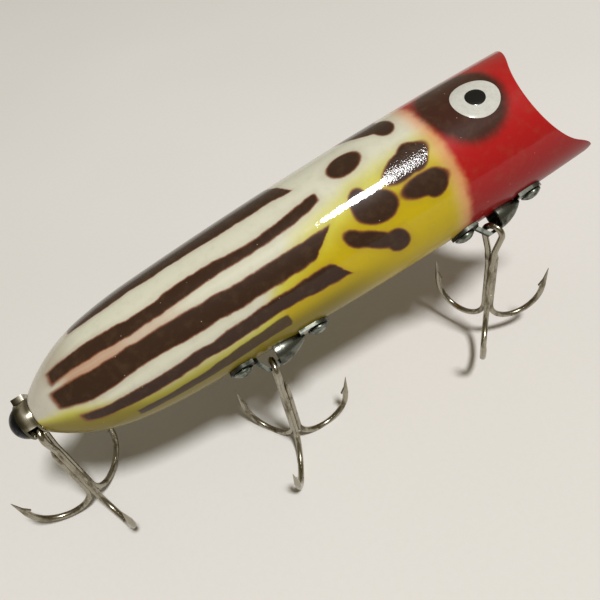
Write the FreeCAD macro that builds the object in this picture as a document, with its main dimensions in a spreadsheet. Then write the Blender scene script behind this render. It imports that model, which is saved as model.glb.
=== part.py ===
"""Topwater popper: a hollow two-shell body, two belly hangers, a tail fitting, a line tie and three trebles.

Each piece is drawn in the body frame (millimetres): the origin is the centre of the tail face, +X runs along
the body's axis to the mouth, +Z is the back and -Y is the lure's right side.  The finished pieces are then
put in the frame of the whole part: the lure lies rolled on its side with its nose a little up, so that all
three trebles hang plumb along -Z, and the origin is the middle of the line tie's ring.
"""
import FreeCAD, Part
import math
import os

import Sketcher

Vector = FreeCAD.Vector
Rotation = FreeCAD.Rotation
Placement = FreeCAD.Placement

AXIS_X = Vector(1, 0, 0)
AXIS_Y = Vector(0, 1, 0)
AXIS_Z = Vector(0, 0, 1)
# A sketch turned by SIDE_VIEW has its first axis along X and its second along Z.
SIDE_VIEW = Rotation(AXIS_X, 90)

DIMENSIONS = (
    # pose of the lure
    ("roll_angle", -55.2, "turn about the body's axis that brings the right side up"),
    ("nose_angle", 7.8, "rise of the nose"),
    # body
    ("body_length", 107.5, "tail face to lower lip"),
    ("tail_face_radius", 3.6, "flat on the tail"),
    ("taper_end", 14.0, "where the bullet-shaped tail ends"),
    ("taper_radius", 10.05, "body radius there"),
    ("shoulder_end", 24.0, "where the long body curve starts"),
    ("shoulder_radius", 11.2, "body radius there"),
    ("lip_radius", 12.1, "body radius at the mouth"),
    ("taper_curve", 30.0, "curve of the tail taper"),
    ("shoulder_curve", 90.0, "curve between the taper and the long body"),
    ("barrel_curve", 882.0, "curve along the body"),
    ("wall", 1.8, "thickness of the moulded wall"),
    ("cavity_start", 12.0, "tail side of the hollow"),
    ("cavity_start_radius", 7.6, "radius of the hollow there"),
    ("cavity_end", 92.5, "mouth side of the hollow"),
    ("cavity_end_radius", 10.7, "radius of the hollow there"),
    # mouth
    ("scoop_floor", 95.9, "deepest place of the mouth"),
    ("scoop_radius", 11.2, "round bottom of the scoop"),
    ("scoop_height", 0.2, "height of the scoop's middle"),
    ("upper_flank", 52.5, "angle of the scoop's upper flank to the axis"),
    ("lower_flank", 20.0, "angle of the scoop's lower flank to the axis"),
    ("scoop_top", 20.0, "height up to which the scoop is cut"),
    ("scoop_reach", 15.0, "how far in front of the lip the scoop is cut"),
    # fixings inside the shells
    ("boss_radius", 2.8, "posts that the screws bite into"),
    ("boss_sink", 1.0, "foot of a belly post below the belly's surface"),
    ("boss_length", 5.8, "belly post"),
    ("hole_depth", 5.6, "screw hole below the belly's surface"),
    ("peg_radius", 1.2, "locating pegs of the glued joint"),
    ("peg_post_radius", 2.0, "posts that carry the pegs"),
    ("peg_post_reach", 10.1, "these posts, from the joint to the wall"),
    ("peg_length", 2.0, "how far a peg reaches over the joint"),
    ("peg_play", 0.3, "extra depth of its socket"),
    ("peg_height", 2.0, "height of the pegs above the axis"),
    ("peg_rear", 28.0, "place of the rear peg"),
    ("peg_front", 64.0, "place of the front peg"),
    ("overcut", 1.0, "how far a cutting block reaches past what it cuts"),
    # belly hangers
    ("front_hanger", 76.3, "rear end of the front hanger"),
    ("front_belly", 12.73, "body radius under it"),
    ("front_slope", -0.6, "slope of the belly under it"),
    ("middle_hanger", 30.1, "rear end of the middle hanger"),
    ("middle_belly", 11.6, "body radius at its rear end"),
    ("middle_slope", 2.3, "slope of the belly under it"),
    ("plate_width", 5.4, "width of both plates"),
    ("plate_thickness", 0.6, "sheet metal"),
    ("plate_gap", 0.04, "paint between plate and belly"),
    ("hanger_length", 19.6, "both plates, end to end"),
    ("bail_plate_length", 4.7, "rear plate"),
    ("bail_width", 0.9, "strap that carries the hook"),
    ("saddle_rear", 6.3, "where the strap starts to run level"),
    ("saddle_front", 7.85, "where it starts to rise into the hood"),
    ("saddle_drop", 2.95, "strap below the belly"),
    ("strap_end", 10.4, "front end of the strap"),
    ("strap_rise", 1.95, "how much it rises in the hood"),
    ("strap_overlap", 0.8, "strap that is one with the rear plate"),
    ("strap_lean", 0.25, "mitre of the steep bends"),
    ("strap_skew", 0.15, "mitre of the shallow bend"),
    ("hook_place", 7.2, "where the hook's eye sits on the strap"),
    ("flap_plate_start", 13.8, "front plate"),
    ("hood_mouth", 8.7, "open rear end of the bulged hood"),
    ("hood_end", 14.6, "where the hood runs out on the front plate"),
    ("hood_drop", 0.8, "middle of the hood's round section below the belly"),
    ("hood_radius", 2.5, "hood at its mouth"),
    ("hood_tip", 0.15, "hood at its front end"),
    ("hood_curve", 9.0, "bulge of the hood along its length"),
    ("hood_wall", 0.5, "sheet metal of the hood"),
    ("screw_inset", 2.3, "screw to the outer end of its plate"),
    # screws
    ("head_radius", 1.95, "dome head"),
    ("head_height", 1.1, "dome head"),
    ("head_rim", 0.25, "straight rim under the dome"),
    ("slot_width", 0.5, "screwdriver slot"),
    ("slot_depth", 0.45, "screwdriver slot"),
    ("screw_radius", 0.9, "shank"),
    ("screw_length", 6.2, "shank below the head"),
    ("screw_tip", 1.35, "pointed end of the shank"),
    ("screw_play", 0.04, "radial gap between shank and hole"),
    ("tail_head_radius", 3.05, "dome head of the tail screw"),
    ("tail_head_height", 2.4, "dome head of the tail screw"),
    ("tail_screw_length", 11.0, "shank of the tail screw"),
    # tail cup
    ("cup_radius", 3.45, "outside of the cup"),
    ("cup_wall", 0.6, "sheet metal"),
    ("cup_length", 2.6, "along the axis"),
    ("cup_end", 0.4, "end wall under the screw head"),
    ("cup_rim", 0.35, "closed rim beside the body"),
    ("cup_bridge", 1.1, "width of the strip that carries the hook"),
    ("cup_window", 54.0, "half angle of the opening around it"),
    ("cup_tab", 2.6, "width of the square tab on top"),
    ("cup_tab_length", 2.0, "tab along the axis"),
    ("cup_tab_height", 0.75, "height of the tab above the cup"),
    ("cup_tab_root", 0.48, "how deep the tab is let into the wall"),
    # line tie
    ("tie_place", 99.7, "middle of the ring"),
    ("tie_ring_radius", 1.9, "middle of the wire"),
    ("tie_wire_radius", 0.5, "wire"),
    ("tie_shank_radius", 0.8, "threaded shank"),
    ("tie_shank_start", 86.0, "inner end of the shank"),
    ("tie_shank_end", 97.9, "where the shank meets the ring"),
    ("tie_hole_play", 0.3, "extra depth of the shank's hole"),
    ("tie_seat", 95.5, "flat seat cut in the mouth"),
    ("tie_seat_radius", 2.5, "flat seat cut in the mouth"),
    ("tie_cup_radius", 2.35, "washer"),
    ("tie_cup_thickness", 0.5, "washer"),
    ("tie_boss_start", 84.0, "inner end of the post for the line tie"),
    ("tie_boss_root", 0.5, "how deep this post runs into the mouth wall"),
    # trebles
    ("wire_radius", 0.575, "hook wire"),
    ("eye_radius", 1.7, "eye, to the middle of the wire"),
    ("eye_drop", 0.35, "eye hangs this far below the strap's middle"),
    ("leg_angle", 14.0, "slant of the eye's legs"),
    ("leg_length", 3.4, "straight part of the legs"),
    ("leg_bend", 7.0, "bend where the legs join the shank"),
    ("twist_length", 3.0, "top of the shank, where the two wires turn with the eye"),
    ("shank_offset", 0.69, "each wire from the treble's axis"),
    ("hook_length", 25.8, "strap to the bottom of the bends"),
    ("bend_radius", 5.7, "hook bend"),
    ("bend_over", -7.0, "turn of the bend beyond a half circle"),
    ("point_straight", 1.2, "straight wire between bend and point"),
    ("point_length", 4.7, "tapered point"),
    ("point_tip", 0.06, "radius at the tip"),
    ("barb_length", 1.5, "barb"),
    ("barb_height", 0.5, "how far the barb stands out of the point"),
    ("barb_width", 0.4, "barb"),
    ("barb_start", 0.36, "foot of the barb along the point"),
    ("barb_lean", 0.18, "how far its free end lies behind the foot"),
    ("barb_sink", 0.27, "foot of the barb to the middle of the wire"),
    ("single_drop", 7.0, "strap to the upper end of the single hook"),
    ("single_taper", 1.6, "ground end of the single hook"),
    ("single_end", 0.12, "radius at this end"),
    ("braze_radius", 0.42, "braze that fills the shank between the wires"),
    ("braze_inset", 0.4, "bare wire at both ends of the braze"),
    ("front_yaw", -13.0, "turn of the front treble about its shank"),
    ("middle_yaw", 4.0, "turn of the middle treble"),
    ("tail_yaw", 174.0, "turn of the tail treble"),
    ("front_twist", 35.0, "turn of the front treble's eye from its hooks"),
    ("middle_twist", -10.0, "turn of the middle treble's eye from its hooks"),
    ("tail_twist", 6.0, "turn of the tail treble's eye from its hooks"),
)


class Size:
    """A length or an angle: its value, and the expression that a property or a constraint is bound to."""

    def __init__(self, value, text):
        self.value = value
        self.text = text

    def _join(self, other, sign, result):
        text = other.text if isinstance(other, Size) else repr(float(other))
        return Size(result, f"({self.text} {sign} {text})")

    def __add__(self, other):
        return self._join(other, "+", self.value + float(other))

    def __sub__(self, other):
        return self._join(other, "-", self.value - float(other))

    def __mul__(self, other):
        return self._join(other, "*", self.value * float(other))

    def __truediv__(self, other):
        return self._join(other, "/", self.value / float(other))

    def __neg__(self):
        return Size(-self.value, f"(-1 * {self.text})")

    def __float__(self):
        return float(self.value)


def sine(angle):
    return Size(math.sin(math.radians(angle.value)), f"sin({angle.text} * 1 deg)")


def cosine(angle):
    return Size(math.cos(math.radians(angle.value)), f"cos({angle.text} * 1 deg)")


def tangent(angle):
    return Size(math.tan(math.radians(angle.value)), f"tan({angle.text} * 1 deg)")


doc = FreeCAD.newDocument("topwater_popper")
sheet = doc.addObject("Spreadsheet::Sheet", "Dims")
dims = {}
for row, (alias, value, meaning) in enumerate(DIMENSIONS, start=1):
    sheet.set(f"A{row}", meaning)
    sheet.set(f"B{row}", str(value))
    sheet.setAlias(f"B{row}", alias)
    dims[alias] = Size(value, f"Dims.{alias}")
doc.recompute()

ZERO = Size(0.0, "0")


# ---------------------------------------------------------------- small tools


def bind(thing, prop, size):
    """Set a property from a Size and keep it bound to the sheet."""
    thing.setExpression(prop, size.text)


def place(thing, x=ZERO, y=ZERO, z=ZERO, rotation=Rotation()):
    """Put a building block at a place bound to the sheet."""
    thing.Placement = Placement(Vector(float(x), float(y), float(z)), rotation)
    for name, size in (("x", x), ("y", y), ("z", z)):
        if size is not ZERO:
            bind(thing, f"Placement.Base.{name}", size)
    return thing


def cylinder(name, radius, height, **where):
    part = doc.addObject("Part::Cylinder", name)
    bind(part, "Radius", radius)
    bind(part, "Height", height)
    return place(part, **where)


def box(name, length, width, height, **where):
    part = doc.addObject("Part::Box", name)
    bind(part, "Length", length)
    bind(part, "Width", width)
    bind(part, "Height", height)
    return place(part, **where)


def ring(name, radius, wire, **where):
    part = doc.addObject("Part::Torus", name)
    bind(part, "Radius1", radius)
    bind(part, "Radius2", wire)
    return place(part, **where)


def cut(name, base, tool):
    part = doc.addObject("Part::Cut", name)
    part.Base = base
    part.Tool = tool
    return part


def common(name, base, tool):
    part = doc.addObject("Part::Common", name)
    part.Base = base
    part.Tool = tool
    return part


def fuse(name, *shapes):
    part = doc.addObject("Part::MultiFuse", name)
    part.Shapes = list(shapes)
    part.Refine = True
    return part


def outline(name, corners, rotation=SIDE_VIEW):
    """A closed, fully constrained sketch through the corners.

    A corner is (first, second) or (first, second, radius, side): the edge that leaves such a corner is an arc
    of that radius, bulging to the left (side 1) or to the right (side -1) of its direction.
    """
    sketch = doc.addObject("Sketcher::SketchObject", name)
    sketch.Placement = Placement(Vector(), rotation)
    count = len(corners)
    starts = []
    for index, corner in enumerate(corners):
        here = Vector(float(corner[0]), float(corner[1]), 0)
        following = corners[(index + 1) % count]
        there = Vector(float(following[0]), float(following[1]), 0)
        if len(corner) == 2:
            sketch.addGeometry(Part.LineSegment(here, there), False)
            starts.append(1)
            continue
        radius, side = float(corner[2]), corner[3]
        half = (there - here) * 0.5
        inward = Vector(half.y, -half.x, 0).normalize() * side
        middle = here + half + inward * math.sqrt(radius ** 2 - half.Length ** 2)
        # A sketch holds its arcs anticlockwise, so an arc that bulges to the left runs from there to here.
        first, last = (there, here) if side > 0 else (here, there)
        begin = math.atan2(first.y - middle.y, first.x - middle.x)
        end = math.atan2(last.y - middle.y, last.x - middle.x)
        if end < begin:
            end += 2 * math.pi
        circle = Part.Circle(middle, AXIS_Z, radius)
        edge = sketch.addGeometry(Part.ArcOfCircle(circle, begin, end), False)
        starts.append(2 if side > 0 else 1)
        number = sketch.addConstraint(Sketcher.Constraint("Radius", edge, float(corner[2])))
        sketch.setExpression(f"Constraints[{number}]", corner[2].text)
    for index in range(count):
        following = (index + 1) % count
        far_end = 3 - starts[index]
        sketch.addConstraint(Sketcher.Constraint("Coincident", index, far_end, following, starts[following]))
    for index, corner in enumerate(corners):
        for kind, size in (("DistanceX", corner[0]), ("DistanceY", corner[1])):
            number = sketch.addConstraint(Sketcher.Constraint(kind, -1, 1, index, starts[index], float(size)))
            sketch.setExpression(f"Constraints[{number}]", size.text)
    return sketch


def revolve(name, sketch, axis, base=ZERO):
    """Turn a sketch round an axis; base is the axis's height."""
    part = doc.addObject("Part::Revolution", name)
    part.Source = sketch
    part.Axis = axis
    bind(part, "Base.z", base)
    part.Angle = 360
    part.Solid = True
    return part


def extrude(name, sketch, width):
    """Extrude a sketch by half the width to each side of its plane."""
    part = doc.addObject("Part::Extrusion", name)
    part.Base = sketch
    part.DirMode = "Normal"
    part.Solid = True
    part.Symmetric = True
    bind(part, "LengthFwd", width)
    return part


def along_x(sign=1):
    """Turn a block that is drawn along Z so that it runs along +X or -X."""
    return Rotation(AXIS_Y, 90 * sign)


# ---------------------------------------------------------------- pose of the finished pieces

lure_turn = Rotation(AXIS_Y, -dims["nose_angle"].value) * Rotation(AXIS_X, dims["roll_angle"].value)
tie_point = Vector(dims["tie_place"].value, 0, dims["scoop_height"].value)
LURE = Placement(lure_turn * (tie_point * -1), lure_turn)

NODES = []


def finish(part, name, where=Placement()):
    """Name a finished piece and put it in the frame of the whole part."""
    part.Label = name
    part.Placement = LURE * where
    NODES.append(part)
    return part


# ---------------------------------------------------------------- body shells


def body_block():
    """The outside of the body as one solid of revolution."""
    d = dims
    profile = outline("body_profile", (
        (ZERO, ZERO),
        (ZERO, d["tail_face_radius"], d["taper_curve"], 1),
        (d["taper_end"], d["taper_radius"], d["shoulder_curve"], 1),
        (d["shoulder_end"], d["shoulder_radius"], d["barrel_curve"], 1),
        (d["body_length"], d["lip_radius"]),
        (d["body_length"], ZERO),
    ))
    return revolve("body_block", profile, AXIS_X)


def body_cavity():
    """The hollow: the outside moved in by the wall, closed at the tail and behind the mouth."""
    d = dims
    profile = outline("cavity_profile", (
        (d["cavity_start"], ZERO),
        (d["cavity_start"], d["cavity_start_radius"]),
        (d["shoulder_end"], d["shoulder_radius"] - d["wall"], d["barrel_curve"] - d["wall"], 1),
        (d["cavity_end"], d["cavity_end_radius"]),
        (d["cavity_end"], ZERO),
    ))
    return revolve("body_cavity", profile, AXIS_X)


def mouth_scoop():
    """The transverse scoop: a round floor with a steep upper flank and a long lower one."""
    d = dims
    middle = d["scoop_floor"] + d["scoop_radius"]
    high = d["scoop_top"]
    upper_x = middle - d["scoop_radius"] * sine(d["upper_flank"])
    upper_z = d["scoop_height"] + d["scoop_radius"] * cosine(d["upper_flank"])
    lower_x = middle - d["scoop_radius"] * sine(d["lower_flank"])
    lower_z = d["scoop_height"] - d["scoop_radius"] * cosine(d["lower_flank"])
    far = d["body_length"] + d["scoop_reach"]
    profile = outline("scoop_profile", (
        (upper_x + (high - upper_z) / tangent(d["upper_flank"]), high),
        (upper_x, upper_z, d["scoop_radius"], -1),
        (lower_x, lower_z),
        (far, lower_z - (far - lower_x) * tangent(d["lower_flank"])),
        (far, high),
    ))
    return extrude("mouth_scoop", profile, d["body_length"])


def hanger_places():
    """Each belly hanger: its name, its rear end, the belly's radius there and the belly's slope."""
    for name in ("front", "middle"):
        yield name, dims[f"{name}_hanger"], dims[f"{name}_belly"], dims[f"{name}_slope"]


def screw_places():
    """A hanger's two screws: the piece that each one holds and its place along the hanger."""
    inset = dims["screw_inset"]
    return (("bail", inset), ("flap", dims["hanger_length"] - inset))


def belly_cylinder(name, radius, length, hanger, along, height):
    """A cylinder square to a hanger's plates; height is its foot above the belly's surface."""
    _, start, belly, slope = hanger
    x = start + along * cosine(slope) + height * sine(slope)
    z = height * cosine(slope) - along * sine(slope) - belly
    return cylinder(name, radius, length, x=x, z=z, rotation=Rotation(AXIS_Y, slope.value))


def body_shells():
    """The moulded body, cut on the middle plane into a right and a left shell with locating pegs."""
    d = dims
    posts = []
    holes = [mouth_scoop()]
    hole_radius = d["screw_radius"] + d["screw_play"]
    hole_length = d["hole_depth"] + d["overcut"]
    for hanger in hanger_places():
        for piece, along in screw_places():
            name = f"{hanger[0]}_{piece}"
            posts.append(belly_cylinder(f"{name}_post", d["boss_radius"], d["boss_length"], hanger, along,
                                        d["boss_sink"]))
            holes.append(belly_cylinder(f"{name}_hole", hole_radius, hole_length, hanger, along,
                                        -d["overcut"]))
    tie_post = d["cavity_end"] + d["tie_boss_root"] - d["tie_boss_start"]
    posts.append(cylinder("tie_post", d["boss_radius"], tie_post, x=d["tie_boss_start"],
                          z=d["scoop_height"], rotation=along_x()))
    for name in ("peg_rear", "peg_front"):
        posts.append(cylinder(f"{name}_post", d["peg_post_radius"], d["peg_post_reach"] * 2, x=d[name],
                              y=d["peg_post_reach"], z=d["peg_height"], rotation=Rotation(AXIS_X, 90)))
    tie_hole_start = d["tie_shank_start"] - d["tie_hole_play"]
    holes.append(cylinder("tie_hole", d["tie_shank_radius"] + d["screw_play"],
                          d["tie_seat"] + d["overcut"] - tie_hole_start, x=tie_hole_start,
                          z=d["scoop_height"], rotation=along_x()))
    holes.append(cylinder("tie_seat_cut", d["tie_seat_radius"], d["body_length"] - d["tie_seat"],
                          x=d["tie_seat"], z=d["scoop_height"], rotation=along_x()))
    holes.append(cylinder("tail_hole", hole_radius, d["tail_screw_length"] - d["cup_length"],
                          rotation=along_x()))

    hollow = cut("hollow_body", body_block(), body_cavity())
    moulding = cut("moulding", fuse("body_with_posts", hollow, *posts), fuse("body_cuts", *holes))

    reach = d["lip_radius"] * 2
    right_side = box("right_side", d["body_length"], reach, reach * 2, y=-reach, z=-reach)
    left_side = box("left_side", d["body_length"], reach, reach * 2, z=-reach)
    pegs = []
    sockets = []
    for name in ("peg_rear", "peg_front"):
        where = {"x": d[name], "y": d["peg_length"], "z": d["peg_height"], "rotation": Rotation(AXIS_X, 90)}
        pegs.append(cylinder(f"{name}_peg", d["peg_radius"], d["peg_length"] * 2, **where))
        sockets.append(cylinder(f"{name}_socket", d["peg_radius"] + d["screw_play"], d["peg_length"] * 2,
                                **{**where, "y": d["peg_length"] + d["peg_play"]}))
    right_half = common("right_half", moulding, right_side)
    left_half = common("left_half", moulding, left_side)
    finish(fuse("right_shell", right_half, *pegs), "body_shell_right")
    finish(cut("left_shell", left_half, fuse("peg_sockets", *sockets)), "body_shell_left")


# ---------------------------------------------------------------- screws


def dome_screw(name, radius, height, length):
    """A dome-head wood screw with its head below the origin plane and its shank along +Z."""
    d = dims
    rise = height - d["head_rim"]
    dome = (radius * radius + rise * rise) / (rise * 2)
    profile = outline(f"{name}_profile", (
        (ZERO, -height, dome, -1),
        (radius, -d["head_rim"]),
        (radius, ZERO),
        (d["screw_radius"], ZERO),
        (d["screw_radius"], length - d["screw_tip"]),
        (ZERO, length),
    ))
    blank = revolve(f"{name}_blank", profile, AXIS_Z)
    slot_reach = radius + d["overcut"]
    slot = box(f"{name}_slot", slot_reach * 2, d["slot_width"], d["slot_depth"] * 2, x=-slot_reach,
               y=-d["slot_width"] / 2, z=-height - d["slot_depth"])
    return cut(name, blank, slot)


# ---------------------------------------------------------------- belly hangers
#
# A hanger is drawn with its rear end at the origin and the belly's surface at z = 0, body above, hook below.


def curved_sheet(name, belly):
    """Sheet metal that follows the round belly, as long as the whole hanger."""
    d = dims
    outer = cylinder(f"{name}_outer", belly + d["plate_gap"] + d["plate_thickness"], d["hanger_length"],
                     z=belly, rotation=along_x())
    inner = cylinder(f"{name}_inner", belly + d["plate_gap"], d["hanger_length"] + d["overcut"] * 2,
                     x=-d["overcut"], z=belly, rotation=along_x())
    return cut(name, outer, inner)


def plate(name, belly, start, end, round_at):
    """A plate of the curved sheet with one rounded end (round_at is the end's sign) and a screw hole."""
    d = dims
    half = d["plate_width"] / 2
    if round_at > 0:
        middle = end - half
        screw = end - d["screw_inset"]
        blank = box(f"{name}_blank", middle - start, d["plate_width"], d["plate_width"], x=start,
                    y=-half, z=-half)
    else:
        middle = start + half
        screw = start + d["screw_inset"]
        blank = box(f"{name}_blank", end - middle, d["plate_width"], d["plate_width"], x=middle,
                    y=-half, z=-half)
    round_end = cylinder(f"{name}_end", half, d["plate_width"], x=middle, z=-half)
    shape = fuse(f"{name}_shape", blank, round_end)
    hole = cylinder(f"{name}_hole", d["screw_radius"] + d["screw_play"] * 2, d["plate_width"], x=screw,
                    z=-half)
    return cut(name, common(f"{name}_sheet", curved_sheet(f"{name}_curve", belly), shape), hole)


def strap_profile(name):
    """Side view of the bail: level on the belly, down to the saddle, then up along the flap's floor."""
    d = dims
    half = d["plate_thickness"] / 2
    top = -d["plate_gap"]
    low = -d["saddle_drop"]
    high = low + d["strap_rise"]
    lean = d["strap_lean"]
    skew = d["strap_skew"]
    root = d["bail_plate_length"] - d["strap_overlap"]
    return outline(name, (
        (root, top),
        (d["bail_plate_length"] + lean, top),
        (d["saddle_rear"] + lean, low + half),
        (d["saddle_front"] - skew, low + half),
        (d["strap_end"] - skew, high + half),
        (d["strap_end"] + skew, high - half),
        (d["saddle_front"] + skew, low - half),
        (d["saddle_rear"] - lean, low - half),
        (d["bail_plate_length"] - lean, top - d["plate_thickness"]),
        (root, top - d["plate_thickness"]),
    ))


def hanger_bail(name, belly):
    """Rear piece of a hanger: a plate under one screw and the strap that carries the hook's eye."""
    d = dims
    rear_plate = plate(f"{name}_plate", belly, ZERO, d["bail_plate_length"], -1)
    strap = extrude(f"{name}_strap", strap_profile(f"{name}_side"), d["bail_width"])
    return fuse(name, rear_plate, strap)


def hood_round(name, mouth, end, radius, tip):
    """The hood's round form: it swells from the front plate towards its mouth."""
    d = dims
    middle = -d["hood_drop"]
    profile = outline(f"{name}_profile", (
        (mouth, middle),
        (end, middle),
        (end, middle - tip, d["hood_curve"], 1),
        (mouth, middle - radius),
    ))
    return revolve(name, profile, AXIS_X, base=middle)


def hanger_flap(name, belly):
    """Front piece of a hanger: a plate under one screw and the bulged hood that closes the bail."""
    d = dims
    front_plate = plate(f"{name}_plate", belly, d["flap_plate_start"], d["hanger_length"], 1)
    bulge = hood_round(f"{name}_bulge", d["hood_mouth"], d["hood_end"], d["hood_radius"], d["hood_tip"])
    hollow_end = d["hood_end"] - d["hood_wall"] * 2
    hollow = hood_round(f"{name}_hollow", d["hood_mouth"] - d["overcut"], hollow_end,
                        d["hood_radius"] - d["hood_wall"], d["hood_tip"])
    body_side = cylinder(f"{name}_body_side", belly + d["plate_gap"], d["hanger_length"], z=belly,
                         rotation=along_x())
    hood = cut(f"{name}_hood", bulge, fuse(f"{name}_inside", hollow, body_side))
    return fuse(name, front_plate, hood)


def belly_hangers():
    d = dims
    for name, start, belly, slope in hanger_places():
        where = Placement(Vector(start.value, 0, -belly.value), Rotation(AXIS_Y, slope.value))
        finish(hanger_bail(f"{name}_bail", belly), f"{name}_hanger_bail", where)
        finish(hanger_flap(f"{name}_flap", belly), f"{name}_hanger_flap", where)
        seat = -(d["plate_gap"] * 2 + d["plate_thickness"]).value
        for piece, along in screw_places():
            screw = dome_screw(f"{name}_{piece}_screw_body", d["head_radius"], d["head_height"],
                               d["screw_length"])
            seated = Placement(Vector(along.value, 0, seat), Rotation())
            finish(screw, f"{name}_{piece}_screw", where * seated)


# ---------------------------------------------------------------- tail fitting


def tail_cup():
    """A short round cup on the tail: a windowed wall whose bridge carries the hook, and a square tab."""
    d = dims
    gap = d["plate_gap"]
    outer = cylinder("cup_outer", d["cup_radius"], d["cup_length"], x=-gap, rotation=along_x(-1))
    inner = cylinder("cup_inner", d["cup_radius"] - d["cup_wall"], d["cup_length"] - d["cup_end"] + gap,
                     rotation=along_x(-1))
    hole = cylinder("cup_hole", d["screw_radius"] + d["screw_play"] * 2, d["cup_length"] + d["overcut"] * 2,
                    x=d["overcut"], rotation=along_x(-1))
    shell = cut("cup_shell", outer, fuse("cup_hollow", inner, hole))

    reach = d["cup_radius"] * 2
    half = sine(d["cup_window"]) * reach
    side = cosine(d["cup_window"]) * -reach
    wedge = outline("cup_window_shape", (
        (ZERO, ZERO),
        (-half, side),
        (-half, -reach),
        (half, -reach),
        (half, side),
    ), Rotation(AXIS_Z, 90) * Rotation(AXIS_X, 90))
    window_length = d["cup_length"] - d["cup_end"] - d["cup_rim"]
    sector = doc.addObject("Part::Extrusion", "cup_window_block")
    sector.Base = wedge
    sector.DirMode = "Normal"
    sector.Solid = True
    bind(sector, "LengthFwd", window_length)
    place(sector, x=-(d["cup_length"] - d["cup_end"]) - gap)
    bridge = box("cup_bridge_block", reach, d["cup_bridge"], reach, x=-reach, y=-d["cup_bridge"] / 2,
                 z=-reach)
    window = cut("cup_window_cut", sector, bridge)
    tab = box("cup_tab_block", d["cup_tab_length"], d["cup_tab"], d["cup_tab_root"] + d["cup_tab_height"],
              x=-d["cup_length"] - gap, y=-d["cup_tab"] / 2, z=d["cup_radius"] - d["cup_tab_root"])
    finish(fuse("cup_body", cut("cup_windowed", shell, window), tab), "tail_cup")


def tail_fitting():
    d = dims
    tail_cup()
    screw = dome_screw("tail_screw_body", d["tail_head_radius"], d["tail_head_height"],
                       d["tail_screw_length"])
    seat = (d["cup_length"] + d["plate_gap"] * 2).value
    finish(screw, "tail_screw", Placement(Vector(-seat, 0, 0), along_x()))


# ---------------------------------------------------------------- line tie


def line_tie():
    """A screw eye in the middle of the mouth with a washer under it."""
    d = dims
    tie_ring = ring("tie_ring", d["tie_ring_radius"], d["tie_wire_radius"], x=d["tie_place"],
                    z=d["scoop_height"], rotation=Rotation(AXIS_X, 90))
    shank = cylinder("tie_shank", d["tie_shank_radius"], d["tie_shank_end"] - d["tie_shank_start"],
                     x=d["tie_shank_start"], z=d["scoop_height"], rotation=along_x())
    finish(fuse("tie_body", tie_ring, shank), "line_tie_eye")
    disc = cylinder("tie_disc", d["tie_cup_radius"], d["tie_cup_thickness"], x=d["tie_seat"] + d["plate_gap"],
                    z=d["scoop_height"], rotation=along_x())
    disc_hole = cylinder("tie_disc_hole", d["tie_shank_radius"] + d["screw_play"],
                         d["tie_cup_thickness"] + d["overcut"] * 2, x=d["tie_seat"] - d["overcut"],
                         z=d["scoop_height"], rotation=along_x())
    finish(cut("tie_washer", disc, disc_hole), "line_tie_washer")


# ---------------------------------------------------------------- trebles
#
# A treble is drawn with its hinge at the origin and its shank along -Z.  One wire, bent double, makes the eye
# and two of the hooks; the third hook is a single wire brazed to it.  Both follow paths that leave one plane,
# so these two shapes are made with Part's own sweeps.


def polar(radius, angle, z):
    turn = math.radians(angle)
    return Vector(radius * math.cos(turn), radius * math.sin(turn), z)


def arc_edge(middle, start, towards, turn):
    """An arc about middle from start, turning by turn degrees in the plane that holds towards."""
    reach = start - middle
    across = towards.normalize() * reach.Length

    def at(angle):
        swing = math.radians(angle)
        return middle + reach * math.cos(swing) + across * math.sin(swing)

    return Part.Arc(start, at(turn / 2), at(turn)).toShape()


def line_edge(start, end):
    return Part.LineSegment(start, end).toShape()


def sweep_wire(edges, radius):
    """A round wire of the given radius along the edges."""
    path = Part.Wire(edges)
    first = edges[0]
    start = first.Vertexes[0].Point
    section = Part.Wire([Part.Circle(start, first.tangentAt(first.FirstParameter), radius).toShape()])
    return path.makePipeShell([section], True, False)


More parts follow.
